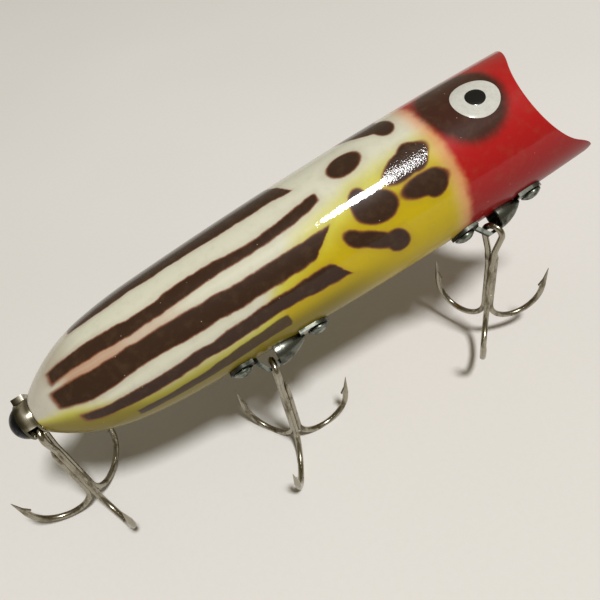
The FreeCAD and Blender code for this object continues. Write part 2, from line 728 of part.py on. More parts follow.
class TrebleFrame:
    """The treble's main heights and distances, read from the sheet."""

    def __init__(self):
        value = {alias: size.value for alias, size in dims.items()}
        self.wire = value["wire_radius"]
        self.offset = value["shank_offset"]
        self.eye = Vector(0, 0, -value["eye_drop"])
        self.eye_radius = value["eye_radius"]
        self.axis_x = self.offset / 2
        self.bottom = -value["hook_length"]
        self.bend = value["bend_radius"]
        self.over = value["bend_over"]
        self.point = value["point_length"]
        self.tip = value["point_tip"]
        self.barb = {
            key: value[f"barb_{key}"] for key in ("length", "height", "width", "start", "lean", "sink")
        }
        self.leg_angle = value["leg_angle"]
        self.leg_length = value["leg_length"]
        self.leg_bend = value["leg_bend"]
        self.twist_length = value["twist_length"]
        self.straight = value["point_straight"]
        self.single_top = -value["single_drop"]
        self.single_taper = value["single_taper"]
        self.single_end = value["single_end"]
        self.braze = value["braze_radius"]
        self.braze_inset = value["braze_inset"]

    def shank(self, angle, z):
        """A point on the wire of the hook that stands at this angle."""
        return Vector(self.axis_x, 0, 0) + polar(self.offset, angle, z)

    def bend_start(self, angle):
        return self.shank(angle, self.bottom + self.bend)

    def bend_edges(self, angle):
        """The hook's bend and the straight wire after it, and the point's start and direction."""
        outward = polar(1, angle, 0)
        start = self.bend_start(angle)
        middle = start + outward * self.bend
        bend = arc_edge(middle, start, Vector(0, 0, -1), 180 + self.over)
        swing = math.radians(self.over)
        end = middle + outward * self.bend * math.cos(swing) + Vector(0, 0, self.bend * math.sin(swing))
        along = outward * -math.sin(swing) + Vector(0, 0, math.cos(swing))
        base = end + along * self.straight
        return [bend, line_edge(end, base)], base, along

    def point_shape(self, angle):
        """The tapered point and its barb, which stands on the side that faces the shank."""
        _, base, along = self.bend_edges(angle)
        sideways = along.cross(polar(1, angle, 0)).normalize()
        inward = along.cross(sideways).normalize()
        cone = Part.makeCone(self.wire, self.tip, self.point, base, along)
        barb = self.barb
        corners = [
            base + inward * barb["sink"] + along * barb["start"],
            base + inward * (self.wire + barb["height"]) + along * (barb["start"] - barb["lean"]),
            base + inward * barb["sink"] + along * (barb["start"] + barb["length"]),
        ]
        corners = [corner - sideways * (barb["width"] / 2) for corner in corners]
        blade = Part.Face(Part.makePolygon(corners + corners[:1])).extrude(sideways * barb["width"])
        return [cone, blade]


def eye_leg(frame, side, twist):
    """Half of the eye's ring and one slanting leg, turned by twist degrees about the shank; side is 1 or -1.

    Also gives the leg's lower end, where the wire points straight down.
    """
    slant = math.radians(frame.leg_angle)
    turn = Rotation(AXIS_Z, twist)
    outward = turn * Vector(0, side * math.cos(slant), -math.sin(slant))
    down = turn * Vector(0, -side * math.sin(slant), -math.cos(slant))
    ring_end = frame.eye + outward * frame.eye_radius
    leg_end = ring_end + down * frame.leg_length
    bend_middle = leg_end + outward * frame.leg_bend
    half_ring = arc_edge(frame.eye, ring_end, -down, 90 + frame.leg_angle)
    bend = arc_edge(bend_middle, leg_end, Vector(down), frame.leg_angle)
    shank_top = min((vertex.Point for vertex in bend.Vertexes), key=lambda point: point.z)
    return [half_ring, line_edge(ring_end, leg_end), bend], shank_top


def double_hook(frame, twist):
    """The eye and two hooks, bent from one wire."""
    shapes = []
    for side in (1, -1):
        angle = 120 * side
        edges, shank_top = eye_leg(frame, side, twist)
        shank_start = frame.shank(angle, shank_top.z - frame.twist_length)
        turning = Part.BSplineCurve()
        turning.interpolate(Points=[shank_top, shank_start], InitialTangent=Vector(0, 0, -1),
                            FinalTangent=Vector(0, 0, -1))
        edges.append(turning.toShape())
        edges.append(line_edge(shank_start, frame.bend_start(angle)))
        edges.extend(frame.bend_edges(angle)[0])
        shapes.append(sweep_wire(edges, frame.wire))
        shapes.extend(frame.point_shape(angle))
    return shapes[0].multiFuse(shapes[1:]).removeSplitter()


def single_hook(frame):
    """The third hook, ground to a tip at its upper end, with the braze that joins it to the others."""
    top = frame.shank(0, frame.single_top)
    start = frame.bend_start(0)
    wire = sweep_wire([line_edge(top, start)] + frame.bend_edges(0)[0], frame.wire)
    ground = Part.makeCone(frame.wire, frame.single_end, frame.single_taper, top)
    core_foot = start.z + frame.braze_inset
    core_length = top.z - frame.braze_inset - core_foot
    core = Part.makeCylinder(frame.braze, core_length, Vector(frame.axis_x, 0, core_foot))
    return wire.multiFuse([ground, core] + frame.point_shape(0)).removeSplitter()


def trebles():
    """Three trebles, alike but for the turn of their eyes, hung from the bails and the tail cup's bridge."""
    d = dims
    frame = TrebleFrame()
    single = single_hook(frame)
    hinges = {}
    for name, start, belly, slope in hanger_places():
        hanger = Placement(Vector(start.value, 0, -belly.value), Rotation(AXIS_Y, slope.value))
        hinges[name] = hanger * Vector(d["hook_place"].value, 0, -d["saddle_drop"].value)
    bridge_middle = (d["cup_radius"] - d["cup_wall"] / 2).value
    window_middle = (d["cup_length"] - d["cup_end"] + d["cup_rim"]).value / 2
    hinges["tail"] = Vector(-window_middle - d["plate_gap"].value, 0, -bridge_middle)
    for name, hinge in hinges.items():
        yaw = Rotation(AXIS_Z, d[f"{name}_yaw"].value)
        double = double_hook(frame, d[f"{name}_twist"].value)
        for kind, shape in (("double", double), ("single", single)):
            hook = doc.addObject("Part::Feature", f"{name}_{kind}")
            hook.Shape = shape
            hook.Label = f"{name}_treble_{kind}"
            hook.Placement = Placement(LURE * hinge, yaw)
            NODES.append(hook)
        print("hinge", name, [round(value, 3) for value in LURE * hinge])


# ---------------------------------------------------------------- build, check and write

body_shells()
line_tie()
belly_hangers()
tail_fitting()
trebles()
doc.recompute()

for thing in doc.Objects:
    if "Invalid" in thing.State or "Error" in thing.State:
        raise RuntimeError(f"{thing.Name} did not compute: {thing.State}")

os.makedirs("parts", exist_ok=True)
for node in NODES:
    if node.Shape.isNull() or not node.Shape.isValid():
        raise RuntimeError(f"{node.Label} has no valid shape")
    node.Shape.exportStep(f"parts/{node.Label}.step")
    print(f"{node.Label}: {len(node.Shape.Solids)} solid, {node.Shape.Volume:.1f} mm3")
print("axis", [round(value, 5) for value in lure_turn * AXIS_X])
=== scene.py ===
"""Looks of the topwater popper: a painted skin for the two body shells, raised enamel eyes and worn metals."""

import math

import bmesh
import bpy
from mathutils import Matrix, Vector


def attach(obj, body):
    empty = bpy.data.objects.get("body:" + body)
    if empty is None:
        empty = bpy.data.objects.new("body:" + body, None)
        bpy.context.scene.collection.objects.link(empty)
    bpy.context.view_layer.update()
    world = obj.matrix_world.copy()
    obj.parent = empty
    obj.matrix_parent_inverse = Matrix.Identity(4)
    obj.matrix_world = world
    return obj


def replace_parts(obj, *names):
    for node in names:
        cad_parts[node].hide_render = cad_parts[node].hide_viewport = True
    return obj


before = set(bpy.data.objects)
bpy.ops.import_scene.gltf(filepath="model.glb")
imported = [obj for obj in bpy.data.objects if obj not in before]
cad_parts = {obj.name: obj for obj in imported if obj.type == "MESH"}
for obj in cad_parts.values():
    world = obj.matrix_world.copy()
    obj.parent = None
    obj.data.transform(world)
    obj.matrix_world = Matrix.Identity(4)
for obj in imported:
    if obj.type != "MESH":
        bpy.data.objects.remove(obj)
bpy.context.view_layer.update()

MM = 0.001
ROLL = math.radians(-55.2)
NOSE = math.radians(7.8)
TIE_POINT = Vector((99.7, 0.0, 0.2))

# ---------------------------------------------------------------- body frame
#
# Paint and skin are drawn in the body frame of the CAD: millimetres from the tail face, +X to the mouth,
# +Z the back, -Y the right side.  This matrix takes them to the row frame in metres.

TURN = Matrix.Rotation(-NOSE, 4, "Y") @ Matrix.Rotation(ROLL, 4, "X")
TO_ROW = Matrix.Scale(MM, 4) @ TURN @ Matrix.Translation(-TIE_POINT)


# ---------------------------------------------------------------- node graphs


def srgb(red, green, blue):
    """A colour given as 0-255 display values, in linear light."""
    def linear(value):
        share = value / 255
        return share / 12.92 if share <= 0.04045 else ((share + 0.055) / 1.055) ** 2.4
    return (linear(red), linear(green), linear(blue), 1.0)


class Graph:
    """A material and short ways to add nodes to it. Sockets and plain values are both taken as inputs."""

    def __init__(self, name):
        self.material = bpy.data.materials.new(name)
        self.material.use_nodes = True
        self.tree = self.material.node_tree
        self.shader = self.tree.nodes["Principled BSDF"]

    def feed(self, socket, value):
        if isinstance(value, bpy.types.NodeSocket):
            self.tree.links.new(value, socket)
        else:
            socket.default_value = value

    def node(self, kind, inputs, **settings):
        made = self.tree.nodes.new(f"ShaderNode{kind}")
        for key, value in settings.items():
            setattr(made, key, value)
        for key, value in inputs.items():
            self.feed(made.inputs[key], value)
        return made

    def math(self, operation, *values):
        return self.node("Math", dict(enumerate(values)), operation=operation).outputs[0]

    def vector(self, operation, *values):
        made = self.node("VectorMath", dict(enumerate(values)), operation=operation)
        return made.outputs["Value" if operation in ("LENGTH", "DOT_PRODUCT") else "Vector"]

    def step(self, value, low, high, most=1.0):
        """A soft step from 0 at low to most at high."""
        inputs = {"Value": value, "From Min": low, "From Max": high, "To Max": most}
        return self.node("MapRange", inputs, interpolation_type="SMOOTHSTEP").outputs["Result"]

    def curve(self, value, points):
        """A line through points of (mm along the body, degrees); 0 to 1 stands for -90 to 90 degrees."""
        made = self.tree.nodes.new("ShaderNodeFloatCurve")
        line = made.mapping.curves[0]
        places = [(x / CURVE_SPAN, (angle + 90) / 180) for x, angle in points]
        line.points[0].location = places[0]
        line.points[1].location = places[-1]
        for place in places[1:-1]:
            line.points.new(*place)
        made.mapping.update()
        self.feed(made.inputs["Value"], self.math("DIVIDE", value, CURVE_SPAN))
        return made.outputs[0]

    def mix(self, share, first, second):
        made = self.tree.nodes.new("ShaderNodeMix")
        made.data_type = "RGBA"
        self.feed(made.inputs[0], share)
        self.feed(made.inputs[6], first)
        self.feed(made.inputs[7], second)
        return made.outputs[2]

    def noise(self, place, scale, detail=2.0, rough=0.5):
        made = self.node("TexNoise", {"Vector": place, "Scale": scale, "Detail": detail, "Roughness": rough})
        return made.outputs["Fac"], made.outputs["Color"]

    def combine(self, x, y, z=0.0):
        return self.node("CombineXYZ", {0: x, 1: y, 2: z}).outputs[0]

    def split(self, vector):
        return self.node("SeparateXYZ", {0: vector}).outputs

    def row_place(self):
        """The point in the row frame at rest, in millimetres."""
        coordinates = self.tree.nodes.new("ShaderNodeTexCoord").outputs["Object"]
        return self.vector("MULTIPLY", coordinates, (1000.0, 1000.0, 1000.0))

    def body_place(self):
        """The point in the body frame, in millimetres."""
        back = TURN.inverted()
        inputs = {"Vector": self.row_place(), "Rotation": back.to_euler("XYZ"), "Location": TIE_POINT}
        return self.node("Mapping", inputs, vector_type="POINT").outputs[0]

    def bump(self, *layers):
        """Bump maps stacked on each other; each layer is (height socket, strength, depth in mm)."""
        normal = None
        for height, strength, depth in layers:
            inputs = {"Height": height, "Strength": strength, "Distance": depth * MM}
            if normal is not None:
                inputs["Normal"] = normal
            normal = self.node("Bump", inputs).outputs[0]
        return normal

    def set(self, **sockets):
        for name, value in sockets.items():
            self.feed(self.shader.inputs[name.replace("_", " ")], value)


# ---------------------------------------------------------------- paint of the body

ARC = 0.21  # millimetres round the body for each degree
CURVE_SPAN = 100.0  # millimetres along the body that a curve covers


class Paint(Graph):
    """Helpers for shapes drawn on the body by place along it (mm) and angle above its side (degrees)."""

    def __init__(self, name):
        super().__init__(name)
        self.place = self.body_place()
        self.x, self.y, self.z = self.split(self.place)
        side = self.math("ABSOLUTE", self.y)
        self.angle = self.math("DEGREES", self.math("ARCTAN2", self.z, side))
        flat = self.combine(self.x, self.math("MULTIPLY", self.angle, ARC))
        coarse = self.noise(self.place, 0.27, 2.0)[1]
        fine = self.noise(self.place, 1.9, 2.0)[1]
        warp = self.vector("MULTIPLY", self.vector("SUBTRACT", coarse, (0.5,) * 3), (1.7, 1.0, 0.0))
        fuzz = self.vector("MULTIPLY", self.vector("SUBTRACT", fine, (0.5,) * 3), (0.18, 0.16, 0.0))
        self.flat = self.vector("ADD", self.vector("ADD", flat, warp), fuzz)
        gentle = self.vector("MULTIPLY", warp, (0.35,) * 3)
        self.near = self.vector("ADD", self.vector("ADD", flat, gentle), fuzz)
        self.along, self.around, _ = self.split(self.flat)

    def edge(self, points):
        """Height round the body, in mm, of a stripe's edge through points of (mm along, degrees)."""
        return self.math("MULTIPLY_ADD", self.curve(self.along, points), 180 * ARC, -90 * ARC)

    def stripe(self, start, end, slant, lower, upper=None):
        """Depth inside a stripe. Its end is at end, in mm, plus slant mm for each mm round the body."""
        front = self.math("MULTIPLY_ADD", self.around, slant, end)
        depth = self.math("SMOOTH_MIN", self.math("SUBTRACT", self.along, start),
                          self.math("SUBTRACT", front, self.along), 0.9)
        depth = self.math("SMOOTH_MIN", depth, self.math("SUBTRACT", self.around, self.edge(lower)), 0.7)
        if upper:
            depth = self.math("SMOOTH_MIN", depth, self.math("SUBTRACT", self.edge(upper), self.around), 0.7)
        return depth

    def spot(self, x, angle, half_length, half_height, tilt=0.0):
        """Depth inside an oval spot."""
        away = self.vector("SUBTRACT", self.near, (x, angle * ARC, 0.0))
        turned = self.node("VectorRotate", {"Vector": away, "Angle": math.radians(-tilt)},
                           rotation_type="Z_AXIS").outputs[0]
        scaled = self.vector("MULTIPLY", turned, (1 / half_length, 1 / half_height, 0.0))
        return self.math("MULTIPLY", self.math("SUBTRACT", 1.0, self.vector("LENGTH", scaled)),
                         min(half_length, half_height))

    def join(self, *depths):
        """Depth inside any of the shapes."""
        whole = depths[0]
        for depth in depths[1:]:
            whole = self.math("SMOOTH_MAX", whole, depth, 0.5)
        return whole


STRIPES = (
    # start, end, slant, lower edge, upper edge
    (12.0, 58.3, -0.45, ((12, 52), (16, 46.5), (25, 44), (33, 42), (42, 40.5), (50, 39), (57, 37.5)), None),
    (6.3, 57.2, 0.0, ((6, 12), (11, 10), (17, 7), (21, 5.5), (33, 8), (42, 9), (50, 10), (57, 15)),
     ((6, 28.8), (10, 25), (17, 22), (22, 18.8), (26, 18.8), (32, 21.8), (37, 20), (43, 17.3), (48, 18.3),
      (54, 22), (57, 22.5))),
    (5.4, 57.4, 1.3, ((5, -17), (8, -22.5), (11, -24.3), (19, -21), (25, -20.8), (33, -22), (42, -22.2),
                      (55, -21)),
     ((5, 4.3), (12, 0), (21, -2), (29, -2.5), (37, -4.3), (44, -5), (55, -4.5))),
    (7.8, 47.5, -0.9, ((7, -45), (9, -48), (13, -48.8), (22, -48.3), (27, -45.8), (37, -44.3), (45, -42.5),
                       (50, -45), (56, -46)),
     ((7, -37), (17, -36.8), (25, -35), (33, -33), (40, -30), (46, -29.3), (55, -29.3))),
)
FADED_STRIPE = (14.8, 43.2, 0.0, ((15, -68.8), (22, -67.5), (29, -66.3), (36, -62), (43, -60.5)),
                ((15, -60), (22, -58.8), (29, -56.3), (33, -52.5), (39, -49.5), (43, -48.8)))
SPOTS = (
    # place along, angle, half length, half height, tilt
    (64.1, 31.8, 3.3, 2.2, 8),
    (73.7, 44.5, 1.85, 2.3, 0),
    (72.0, 55.5, 3.9, 2.2, -30),
    (70.6, 74.0, 4.4, 4.0, 0),
    (72.2, 5.0, 4.9, 2.1, 12),
    (73.7, 6.5, 2.5, 2.6, 0),
    (73.2, -15.8, 4.4, 1.75, -5),
    (74.7, -18.5, 2.4, 2.2, 0),
    (64.2, -11.0, 3.9, 2.6, -12),
    (62.2, -1.5, 1.6, 2.3, -30),
    (58.7, -23.0, 2.0, 1.3, -45),
    (61.8, -32.5, 4.6, 1.4, -35),
    (65.2, -42.5, 2.3, 1.9, -45),
)
# dark patch round the eye: middle and half size, mm along the body and degrees round it
PATCH_X, PATCH_HALF_LENGTH = 86.6, 7.4
PATCH_ANGLE, PATCH_HALF_ANGLE = 27.0, 39.0
# upper border of the yellow: mm along the body, degrees above its side
YELLOW_LEVEL = ((2, -20), (8, -30), (15, -43), (28, -48), (38, -42), (46, -14), (54, 3), (66, 12), (80, 20))
CREAM = srgb(200, 199, 180)
LEMON = srgb(192, 187, 70)
GOLD = srgb(181, 158, 14)
OLIVE = srgb(112, 100, 26)
SMEAR = srgb(168, 124, 96)
PEARL = srgb(186, 180, 166)
PEACH = srgb(208, 166, 124)
RUST = srgb(112, 62, 38)
BROWN = srgb(50, 31, 19)
PLUM = srgb(62, 44, 36)
RED = srgb(160, 19, 20)
SHADED_RED = srgb(126, 12, 14)
TAIL_TOP_BROWN = srgb(128, 98, 76)
GRIME = srgb(120, 96, 70)
NICK = srgb(190, 170, 140)
PATCH_BROWN = srgb(46, 28, 18)
BLUSH = srgb(190, 78, 54)


def body_paint():
    """Airbrushed cream, yellow, stripes and spots under a red head, all beneath one clear coat."""
    g = Paint("body_paint")
    drift = g.noise(g.place, 0.12, 3.0)[0]
    sway = g.math("MULTIPLY_ADD", drift, 16.0, -8.0)
    angle = g.math("ADD", g.angle, sway)

    # yellow rises from the belly at the tail to well above the side line behind the head
    level = g.math("MULTIPLY_ADD", g.curve(g.x, YELLOW_LEVEL), 180.0, -90.0)
    below = g.math("SUBTRACT", level, angle)
    yellow = g.step(below, -14.0, 10.0)
    # Further below the yellow's edge it deepens to a darker gold: partly the paint's own tone, partly painted
    # shade of the lower side.
    deep = g.step(below, 4.0, 30.0)
    colour = g.mix(yellow, CREAM, g.mix(deep, LEMON, GOLD))
    # On the underside, behind the head, the yellow turns a darker olive: partly a greenish tint of the paint,
    # partly painted shade of the underside.
    lower = g.math("SUBTRACT", g.angle, g.step(g.x, 20.0, 5.0, 20.0))
    belly = g.step(lower, -42.0, -64.0, 0.8)
    colour = g.mix(g.math("MULTIPLY", belly, g.step(g.x, 68.0, 50.0)), colour, OLIVE)
    # The top of the tail, within 15 mm of its end, is mixed towards a darker brown.
    browner_tail_top = g.math("MULTIPLY", g.step(g.x, 15.0, 6.0, 0.4), g.step(g.angle, 2.0, 24.0))
    colour = g.mix(browner_tail_top, colour, TAIL_TOP_BROWN)
    tip = g.math("MULTIPLY", g.step(g.x, 7.0, 3.0, 0.85), g.step(g.angle, -32.0, -12.0))
    colour = g.mix(tip, colour, PEARL)
    fringe = g.step(g.math("ADD", g.x, g.math("MULTIPLY", drift, 1.5)), 76.2, 79.8, 0.7)
    colour = g.mix(fringe, colour, PEACH)

    # stripes and spots: rusty overspray first, then the brown itself
    shapes = [g.stripe(*numbers) for numbers in STRIPES] + [g.spot(*numbers) for numbers in SPOTS]
    depth = g.join(*shapes)
    tail_blur = g.step(g.x, 13.0, 5.0, 0.55)
    blur = g.math("ADD", tail_blur, 0.3)
    mist = g.math("MULTIPLY", g.step(depth, -1.5, 0.1, 0.28), g.math("ADD", g.step(g.x, 30.0, 6.0, 0.6), 0.55))
    colour = g.mix(mist, colour, RUST)
    between = g.step(g.math("ABSOLUTE", g.math("SUBTRACT", g.angle, 4.0)), 13.0, 5.0, 0.78)
    smear = g.math("MULTIPLY", between, g.step(g.math("ADD", g.x, sway), 36.0, 12.0))
    smear = g.math("MULTIPLY", smear, g.step(g.x, 6.0, 10.0))
    colour = g.mix(g.math("MULTIPLY", smear, g.step(depth, -2.2, -0.6)), colour, SMEAR)
    low = g.math("MULTIPLY", blur, -1.0)
    rim = g.step(depth, low, 0.12)
    heart = g.step(depth, -0.08, 0.34)
    colour = g.mix(rim, colour, g.mix(heart, RUST, BROWN))
    faded = g.step(g.stripe(*FADED_STRIPE), -0.35, 0.15, 0.94)
    colour = g.mix(faded, colour, PLUM)

    # red head with a soft front of overspray, and the dark patch round the eye
    front = g.math("ADD", g.x, g.math("MULTIPLY_ADD", g.noise(g.place, 0.5, 2.0)[0], 1.2, -0.6))
    blush = g.step(front, 76.6, 80.2, 0.55)
    colour = g.mix(blush, colour, BLUSH)
    head = g.step(front, 78.6, 80.3)
    # The red darkens towards the underside: painted shade.
    red_shade = g.step(g.angle, -10.0, -60.0, 0.6)
    colour = g.mix(head, colour, g.mix(red_shade, RED, SHADED_RED))
    patch_x = g.math("DIVIDE", g.math("SUBTRACT", g.x, PATCH_X), PATCH_HALF_LENGTH)
    patch_a = g.math("DIVIDE", g.math("SUBTRACT", g.angle, PATCH_ANGLE), PATCH_HALF_ANGLE)
    reach = g.vector("LENGTH", g.combine(patch_x, patch_a))
    ragged = g.math("MULTIPLY_ADD", g.noise(g.place, 0.9, 4.0)[0], 0.12, -0.06)
    patch = g.step(g.math("ADD", reach, ragged), 1.16, 0.86, 0.96)
    colour = g.mix(patch, colour, PATCH_BROWN)

    # dust and nicks
    specks = g.node("TexVoronoi", {"Vector": g.place, "Scale": 0.42, "Randomness": 1.0}).outputs["Distance"]
    nick = g.step(specks, 0.05, 0.03, 0.45)
    colour = g.mix(nick, colour, NICK)
    haze = g.noise(g.place, 0.6, 5.0, 0.6)[0]
    colour = g.mix(g.step(haze, 0.45, 0.75, 0.10), colour, GRIME)

    grain = g.noise(g.place, 3.4, 2.0)[0]
    peel = g.noise(g.place, 0.75, 2.0)[0]
    from_spot = g.math("ABSOLUTE", g.math("SUBTRACT", g.angle, 7.0))
    gritty = g.math("MULTIPLY", g.step(g.x, 66.0, 69.0), g.step(from_spot, 14.0, 8.0))
    rough_paint = g.math("MULTIPLY", g.math("MULTIPLY", rim, gritty), grain)
    normal = g.bump((peel, 0.25, 0.06), (depth, 0.06, 0.1), (rough_paint, 0.85, 0.055))
    # The clear coat is thinned towards the belly so the pale floor reflects less there: painted shade in the
    # underside's reflection.
    thinner_coat_below = g.math("ADD", g.step(g.angle, -62.0, -12.0, 0.75), 0.25)
    g.set(Base_Color=colour, Normal=normal, Coat_Normal=normal, Roughness=0.38, Coat_Weight=thinner_coat_below)
    g.set(Specular_IOR_Level=0.08, Coat_Roughness=0.055, Coat_IOR=1.4)
    return g.material


def enamel(name, colour, tint):
    """Thick brushed-on enamel of the eyes, with rings left by turning the brush."""
    g = Graph(name)
    place = g.body_place()
    x, y, z = g.split(place)
    angle = g.math("DEGREES", g.math("ARCTAN2", z, g.math("ABSOLUTE", y)))
    away = g.combine(g.math("SUBTRACT", x, EYE_X),
                     g.math("MULTIPLY", g.math("SUBTRACT", angle, EYE_ANGLE), EYE_RADIUS * math.pi / 180))
    ring = g.math("ADD", g.vector("LENGTH", away), g.math("MULTIPLY", g.noise(place, 0.8, 2.0)[0], 0.5))
    rings = g.math("SINE", g.math("MULTIPLY", ring, 2 * math.pi / 0.62))
    mottle = g.noise(place, 1.4, 4.0, 0.6)[0]
    shade = g.step(mottle, 0.35, 0.75, 0.35)
    g.set(Base_Color=g.mix(shade, colour, tint))
    g.set(Normal=g.bump((rings, 0.12, 0.04), (mottle, 0.15, 0.04)), Roughness=0.3, Coat_Weight=0.6)
    g.set(Specular_IOR_Level=0.15, Coat_Roughness=0.1)
    return g.material


# ---------------------------------------------------------------- metals


def metal(name, bright, stain, stretch=(1.0, 1.0, 1.0), patches=(0.45, 0.72), roughness=(0.2, 0.48),
          scale=0.7, scratch=0.12):
    """Worn plating: bright metal with stained, rougher patches and fine scratches."""
    g = Graph(name)
    place = g.row_place()
    stretched = g.vector("MULTIPLY", place, stretch)
    cloud = g.noise(stretched, scale, 5.0, 0.6)[0]
    stained = g.step(cloud, *patches)
    fine = g.noise(stretched, 6.0, 4.0, 0.65)[0]
    tone = g.mix(g.step(fine, 0.4, 0.7, 0.35), bright, stain)
    g.set(Base_Color=g.mix(stained, tone, stain), Metallic=1.0)
    low, high = roughness
    uneven = g.math("MULTIPLY_ADD", fine, 0.14, low - 0.07)
    g.set(Roughness=g.math("MULTIPLY_ADD", stained, high - low, uneven))
    g.set(Normal=g.bump((cloud, 0.2, 0.05), (fine, scratch, 0.03)))
    return g.material


CUP_HALF = 1.25  # half the cup's length, in mm


def cup_metal():
    """Bright nickel turned on a lathe: fine rings round the axis, a painted highlight ring in the middle and
    painted shade darkening the outer end.
    """
    g = Graph("cup_metal")
    place = g.body_place()
    x, y, z = g.split(place)
    lathe = g.noise(g.combine(g.math("MULTIPLY", x, 9.0), g.math("MULTIPLY", y, 0.25),
                              g.math("MULTIPLY", z, 0.25)), 1.0, 3.0, 0.6)[0]
    cloud = g.noise(place, 0.55, 4.0, 0.6)[0]
    stained = g.step(cloud, 0.47, 0.68, 0.8)
    tone = g.mix(g.step(lathe, 0.35, 0.7, 0.5), srgb(158, 152, 132), srgb(98, 90, 72))
    # A bright ring round the middle of the cup: painted highlight.
    highlight_ring = g.step(g.math("ABSOLUTE", g.math("ADD", x, 1.15)), 0.75, 0.15, 0.8)
    tone = g.mix(highlight_ring, tone, srgb(236, 230, 214))
    # The outer end darkened: painted shade.
    tone = g.mix(g.step(x, -1.7, -2.4, 0.75), tone, srgb(60, 54, 42))
    g.set(Base_Color=g.mix(stained, tone, srgb(78, 70, 50)), Metallic=1.0, Anisotropic=0.4)
    g.set(Roughness=g.math("MULTIPLY_ADD", stained, 0.2, g.math("MULTIPLY_ADD", lathe, 0.2, 0.14)))
    across = g.math("DIVIDE", g.math("ADD", x, CUP_HALF), CUP_HALF)
    barrel = g.math("SUBTRACT", 1.0, g.math("MULTIPLY", across, across))
    g.set(Normal=g.bump((barrel, 1.0, 0.22), (lathe, 0.35, 0.03), (cloud, 0.2, 0.05)))
    return g.material


def paint_nodes():
    """Gives every CAD node that stays its metal."""
    hook = metal("hook_metal", srgb(168, 162, 146), srgb(96, 84, 60), stretch=(1.0, 1.0, 0.35),
                 patches=(0.46, 0.7), roughness=(0.2, 0.44))
    # The hanger steel is kept dark and the strap steel darker still: painted shade of the body's shadow on the
    # hardware of its belly.
    hanger = metal("hanger_metal", srgb(116, 118, 110), srgb(58, 61, 52), patches=(0.42, 0.66),
                   roughness=(0.24, 0.5), scale=0.45)
    strap = metal("strap_metal", srgb(78, 80, 74), srgb(40, 42, 36), patches=(0.42, 0.66),
                  roughness=(0.36, 0.56), scale=0.6)
    screw = metal("screw_metal", srgb(138, 142, 134), srgb(66, 72, 62), patches=(0.4, 0.62),
                  roughness=(0.22, 0.46), scale=0.9)
    dark = metal("dark_screw_metal", srgb(52, 56, 60), srgb(18, 18, 20), patches=(0.4, 0.6),
                 roughness=(0.22, 0.4), scale=0.8)
    tie = metal("tie_metal", srgb(190, 184, 170), srgb(110, 98, 74), patches=(0.5, 0.75))
    cup = cup_metal()
    for name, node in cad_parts.items():
        if name.startswith("body_shell"):
            continue
        if "treble" in name:
            chosen = hook
        elif name.endswith("hanger_bail"):
            chosen = strap
        elif "hanger" in name:
            chosen = hanger
        elif name == "tail_cup":
            chosen = cup
        elif name == "tail_screw":
            chosen = dark
        elif name.startswith("line_tie"):
            chosen = tie
        else:
            chosen = screw
        node.data.materials.clear()
        node.data.materials.append(chosen)


# ---------------------------------------------------------------- skin of the body

LENGTH = 107.5
SCOOP_FLOOR = 95.9
SCOOP_RADIUS = 11.2
SCOOP_HEIGHT = 0.2
UPPER_FLANK = math.radians(52.5)
LOWER_FLANK = math.radians(20.0)
SEAT_X = 95.5
SEAT_RADIUS = 2.5
# knots of the side view as (x, body radius, radius of the curve to the next knot)
SIDE_VIEW = ((0.0, 3.6, 30.0), (14.0, 10.05, 90.0), (24.0, 11.2, 882.0), (107.5, 12.1, None))
COLUMNS = 150
LIP_ROUND = 0.4
LAST_RING = 94.6  # from here on the rings close up towards the lip

EYE_X = 88.8
EYE_ANGLE = 21.0
EYE_RADIUS = 12.75


def body_radius(x):
    """Radius of the body at x, on the arc between the two knots round it."""
    for (x0, r0, curve), (x1, r1, _) in zip(SIDE_VIEW, SIDE_VIEW[1:]):
        if x <= x1:
            break
    half = Vector((x1 - x0, r1 - r0)) / 2
    inward = Vector((half.y, -half.x)).normalized()
    middle = Vector((x0, r0)) + half + inward * math.sqrt(curve ** 2 - half.length ** 2)
    return middle.y + math.sqrt(curve ** 2 - (x - middle.x) ** 2)


def scoop_x(z):
    """Where the scoop's surface is, at a height z."""
    middle = SCOOP_FLOOR + SCOOP_RADIUS
    up = z - SCOOP_HEIGHT
    if up > SCOOP_RADIUS * math.cos(UPPER_FLANK):
        start = middle - SCOOP_RADIUS * math.sin(UPPER_FLANK)
        x = start + (up - SCOOP_RADIUS * math.cos(UPPER_FLANK)) / math.tan(UPPER_FLANK)
    elif up < -SCOOP_RADIUS * math.cos(LOWER_FLANK):
        start = middle - SCOOP_RADIUS * math.sin(LOWER_FLANK)
        x = start + (-SCOOP_RADIUS * math.cos(LOWER_FLANK) - up) / math.tan(LOWER_FLANK)
    else:
        x = middle - math.sqrt(SCOOP_RADIUS ** 2 - up ** 2)
    return min(x, LENGTH)


def lip_x(turn):
    """Where the body's side meets the scoop, for a direction turn from the back (radians)."""
    low, high = SCOOP_FLOOR - 1, LENGTH
    for _ in range(40):
        x = (low + high) / 2
        if x < scoop_x(body_radius(x) * math.cos(turn)):
            low = x
        else:
            high = x
    return low


def rounded(first, corner, last, count):
    """Points on the curve that rounds off a corner."""
    points = []
    for index in range(count + 1):
        t = index / count
        points.append(first * (1 - t) ** 2 + corner * (2 * t * (1 - t)) + last * t ** 2)
    return points


